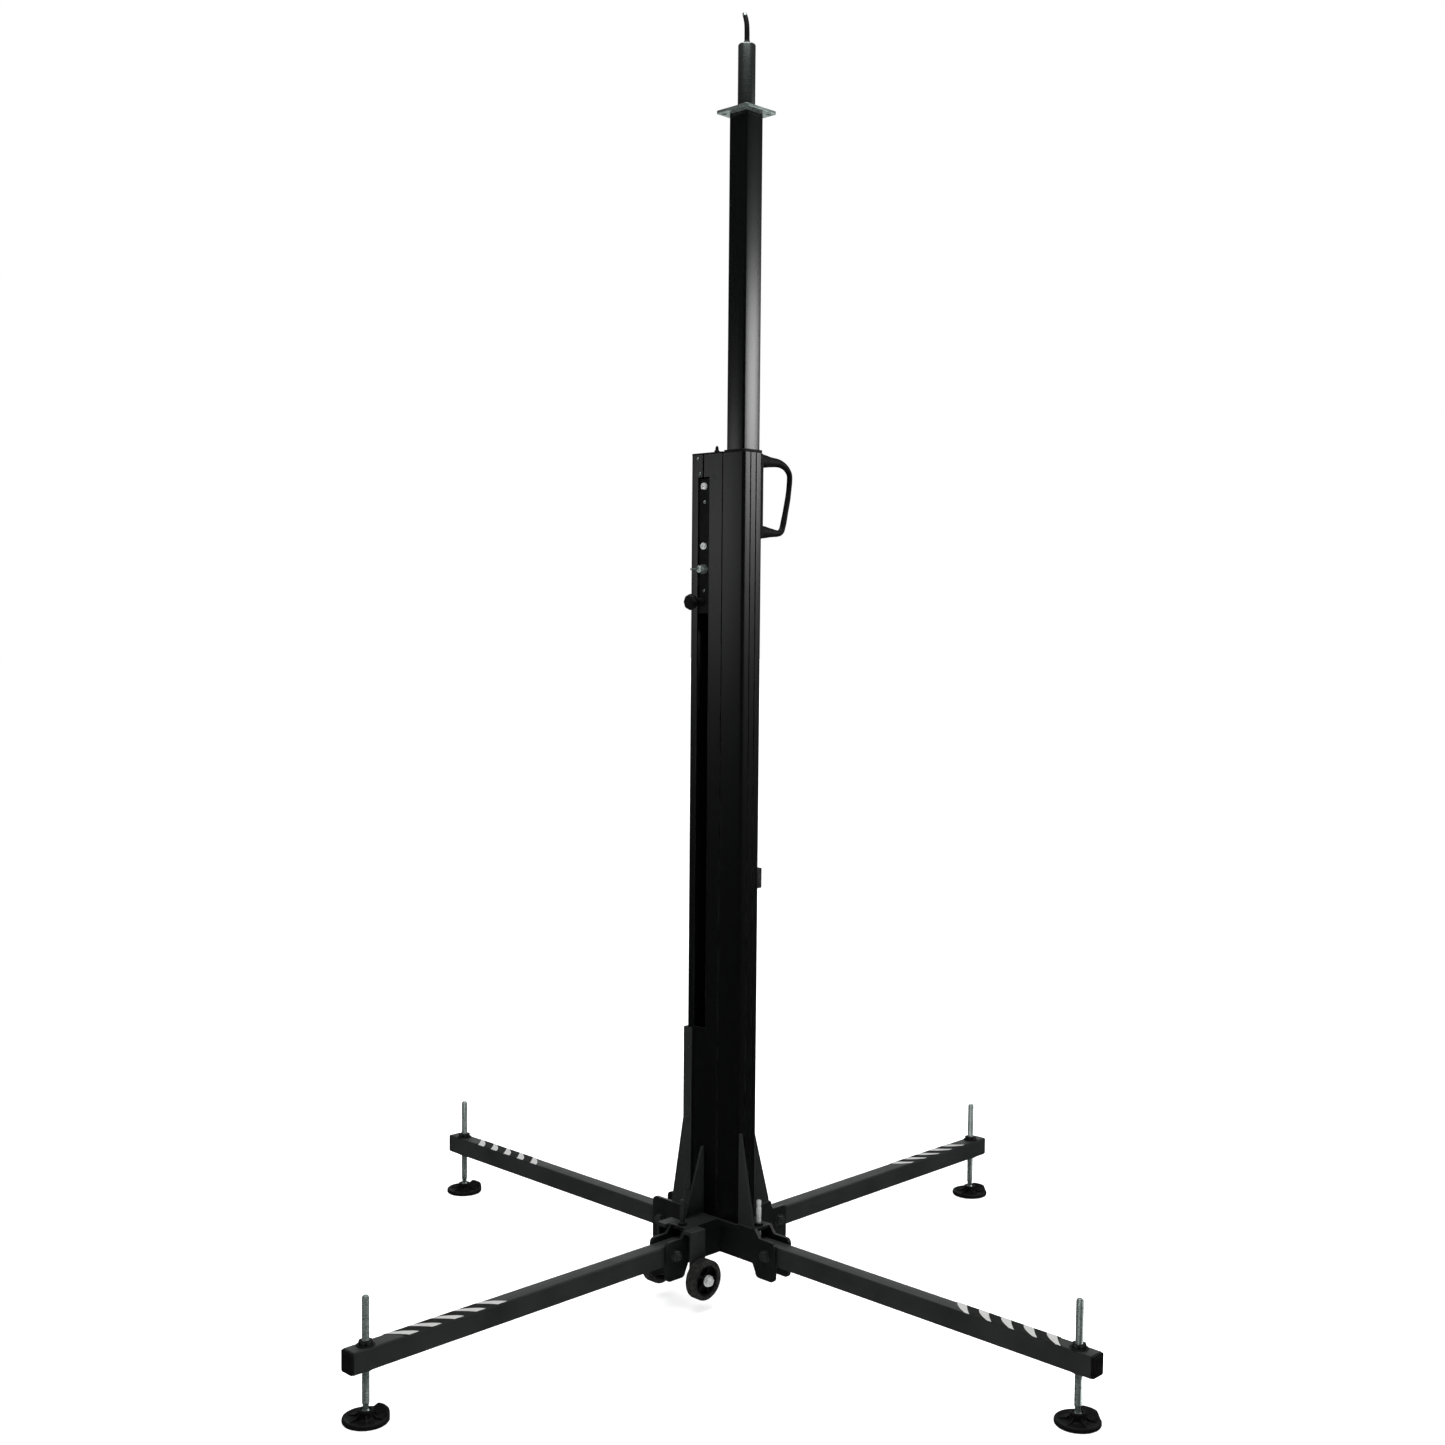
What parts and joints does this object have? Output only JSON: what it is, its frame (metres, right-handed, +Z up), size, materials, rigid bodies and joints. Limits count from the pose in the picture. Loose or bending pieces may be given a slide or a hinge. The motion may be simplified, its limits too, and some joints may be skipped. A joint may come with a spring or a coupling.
{
  "type": "telescopic lifting mast",
  "caption": "Telescopic wind-up lifting mast with folding outrigger legs, screw jack feet, a carry handle and a round top spigot.",
  "frame": {"origin": "on the floor under the centre of the lower mast, at the middle of the leg cross", "axes": "+Z up along the mast; the four legs lie along +X, +Y, -X and -Y"},
  "size_m": [1.814, 1.814, 2.5813],
  "materials": {
    "black_paint": "satin black powder coat with fine orange peel and worn edges",
    "black_anodised": "black anodised extrusion with fine vertical die lines",
    "tube_anodised": "smoother black anodised tube, with long rubbed marks where it slides",
    "zinc": "bright zinc plating with a faint blue-green cast",
    "black_plastic": "moulded black plastic with a fine grain",
    "rubber": "black rubber, slightly dusty",
    "wire_rope": "galvanised stranded wire rope",
    "white_tape": "white hazard bands on the leg tops"
  },
  "bodies": {
    "base": {"base_frame": "black_paint", "mast_profile": "black_anodised", "mast_cap": "black_plastic", "guide_collar": "black_plastic", "back_channel": "black_paint", "side_buffer": "rubber", "carry_handle": "black_plastic", "latch_plate": "black_paint", "latch_bolt_upper": "zinc", "latch_bolt_lower": "zinc", "latch_housing": "black_paint", "sheave_axle": "black_paint", "winch_rope": "wire_rope", "lift_rope": "wire_rope", "winch_frame": "black_paint", "wheel_bracket_right": "black_paint", "wheel_bracket_left": "black_paint", "wheel_axle_right": "zinc", "wheel_axle_left": "zinc", "gusset_front_right": "black_paint", "gusset_back_right": "black_paint", "gusset_back_left": "black_paint", "gusset_front_left": "black_paint", "pivot_pin_front_right": "black_paint", "pivot_pin_back_right": "black_paint", "pivot_pin_back_left": "black_paint", "pivot_pin_front_left": "black_paint"},
    "lift": {"lift_tube": "tube_anodised", "slide_shoe": "black_plastic", "top_plate": "zinc", "spigot": "zinc", "spigot_finger": "black_paint"},
    "winch_rotor": {"winch_drum": "zinc", "winch_crank": "zinc"},
    "crank_handgrip": {"crank_grip": "black_plastic"},
    "sheave": {"top_sheave": "zinc"},
    "knob": {"lock_knob": "black_plastic"},
    "clamp_nut": {"wing_nut": "zinc"},
    "wheel_right": {"transport_wheel_right": "rubber"},
    "wheel_left": {"transport_wheel_left": "rubber"},
    "outrigger_front_right": {"leg_front_right": "black_paint", "leg_cap_front_right": "black_plastic"},
    "outrigger_back_right": {"leg_back_right": "black_paint", "leg_cap_back_right": "black_plastic"},
    "outrigger_back_left": {"leg_back_left": "black_paint", "leg_cap_back_left": "black_plastic"},
    "outrigger_front_left": {"leg_front_left": "black_paint", "leg_cap_front_left": "black_plastic"},
    "jack_front_right": {"jack_screw_front_right": "zinc"},
    "jack_back_right": {"jack_screw_back_right": "zinc"},
    "jack_back_left": {"jack_screw_back_left": "zinc"},
    "jack_front_left": {"jack_screw_front_left": "zinc"},
    "foot_front_right": {"foot_pad_front_right": "black_plastic"},
    "foot_back_right": {"foot_pad_back_right": "black_plastic"},
    "foot_back_left": {"foot_pad_back_left": "black_plastic"},
    "foot_front_left": {"foot_pad_front_left": "black_plastic"},
    "pin_front_right": {"lock_pin_front_right": "zinc"},
    "pin_back_right": {"lock_pin_back_right": "black_paint"},
    "pin_back_left": {"lock_pin_back_left": "black_paint"},
    "pin_front_left": {"lock_pin_front_left": "black_paint"}
  },
  "joints": [
    {"name": "mast_extend", "type": "slide", "parent": "base", "child": "lift", "axis": [0, 0, 1], "range_m": [-0.655, 0.55], "deforming": ["lift_rope"]},
    {"name": "winch_turn", "type": "hinge", "parent": "base", "child": "winch_rotor", "pos_m": [-0.035, 0.07, 1.08], "axis": [1, 0, 0], "continuous": true},
    {"name": "crank_grip_turn", "type": "hinge", "parent": "winch_rotor", "child": "crank_handgrip", "pos_m": [-0.154, 0.17607, 0.97393], "axis": [1, 0, 0], "continuous": true},
    {"name": "sheave_turn", "type": "hinge", "parent": "base", "child": "sheave", "pos_m": [-0.007, 0, 1.668], "axis": [0, 1, 0], "continuous": true},
    {"name": "lock_knob_pull", "type": "slide", "parent": "base", "child": "knob", "axis": [0, -1, 0], "range_m": [0, 0.012], "stiffness_N_per_m": 800},
    {"name": "clamp_nut_turn", "type": "hinge", "parent": "base", "child": "clamp_nut", "pos_m": [-0.0375, -0.0355, 1.485], "axis": [0, -1, 0], "range_deg": [0, 360]},
    {"name": "wheel_right_roll", "type": "hinge", "parent": "base", "child": "wheel_right", "pos_m": [0.064, -0.112, 0.066], "axis": [1, 0, 0], "continuous": true},
    {"name": "wheel_left_roll", "type": "hinge", "parent": "base", "child": "wheel_left", "pos_m": [-0.064, -0.112, 0.066], "axis": [1, 0, 0], "continuous": true},
    {"name": "leg_fold_front_right", "type": "hinge", "parent": "base", "child": "outrigger_front_right", "pos_m": [0.152, 0, 0.114], "axis": [0, -1, 0], "range_deg": [0, 86]},
    {"name": "leg_fold_back_right", "type": "hinge", "parent": "base", "child": "outrigger_back_right", "pos_m": [0, 0.152, 0.114], "axis": [1, 0, 0], "range_deg": [0, 90]},
    {"name": "leg_fold_back_left", "type": "hinge", "parent": "base", "child": "outrigger_back_left", "pos_m": [-0.152, 0, 0.114], "axis": [0, 1, 0], "range_deg": [0, 86]},
    {"name": "leg_fold_front_left", "type": "hinge", "parent": "base", "child": "outrigger_front_left", "pos_m": [0, -0.152, 0.114], "axis": [-1, 0, 0], "range_deg": [0, 90]},
    {"name": "jack_travel_front_right", "type": "slide", "parent": "outrigger_front_right", "child": "jack_front_right", "axis": [0, 0, -1], "range_m": [-0.045, 0.075]},
    {"name": "jack_travel_back_right", "type": "slide", "parent": "outrigger_back_right", "child": "jack_back_right", "axis": [0, 0, -1], "range_m": [-0.045, 0.075]},
    {"name": "jack_travel_back_left", "type": "slide", "parent": "outrigger_back_left", "child": "jack_back_left", "axis": [0, 0, -1], "range_m": [-0.045, 0.075]},
    {"name": "jack_travel_front_left", "type": "slide", "parent": "outrigger_front_left", "child": "jack_front_left", "axis": [0, 0, -1], "range_m": [-0.045, 0.075]},
    {"name": "foot_tilt_front_right", "type": "hinge", "parent": "jack_front_right", "child": "foot_front_right", "pos_m": [0.866, 0, 0.017], "axis": [0, -1, 0], "range_deg": [-12, 12]},
    {"name": "foot_tilt_back_right", "type": "hinge", "parent": "jack_back_right", "child": "foot_back_right", "pos_m": [0, 0.866, 0.017], "axis": [1, 0, 0], "range_deg": [-12, 12]},
    {"name": "foot_tilt_back_left", "type": "hinge", "parent": "jack_back_left", "child": "foot_back_left", "pos_m": [-0.866, 0, 0.017], "axis": [0, 1, 0], "range_deg": [-12, 12]},
    {"name": "foot_tilt_front_left", "type": "hinge", "parent": "jack_front_left", "child": "foot_front_left", "pos_m": [0, -0.866, 0.017], "axis": [-1, 0, 0], "range_deg": [-12, 12]},
    {"name": "lock_pin_drop_front_right", "type": "slide", "parent": "base", "child": "pin_front_right", "axis": [0, 0, -1], "range_m": [0, 0.015]},
    {"name": "lock_pin_drop_back_right", "type": "slide", "parent": "base", "child": "pin_back_right", "axis": [0, 0, -1], "range_m": [0, 0.015]},
    {"name": "lock_pin_drop_back_left", "type": "slide", "parent": "base", "child": "pin_back_left", "axis": [0, 0, -1], "range_m": [0, 0.015]},
    {"name": "lock_pin_drop_front_left", "type": "slide", "parent": "base", "child": "pin_front_left", "axis": [0, 0, -1], "range_m": [0, 0.015]}
  ],
  "couplings": [
    {"joint": "winch_turn", "follows": "mast_extend", "rad_per_m": 33.003},
    {"joint": "sheave_turn", "follows": "mast_extend", "rad_per_m": -37.736}
  ]
}
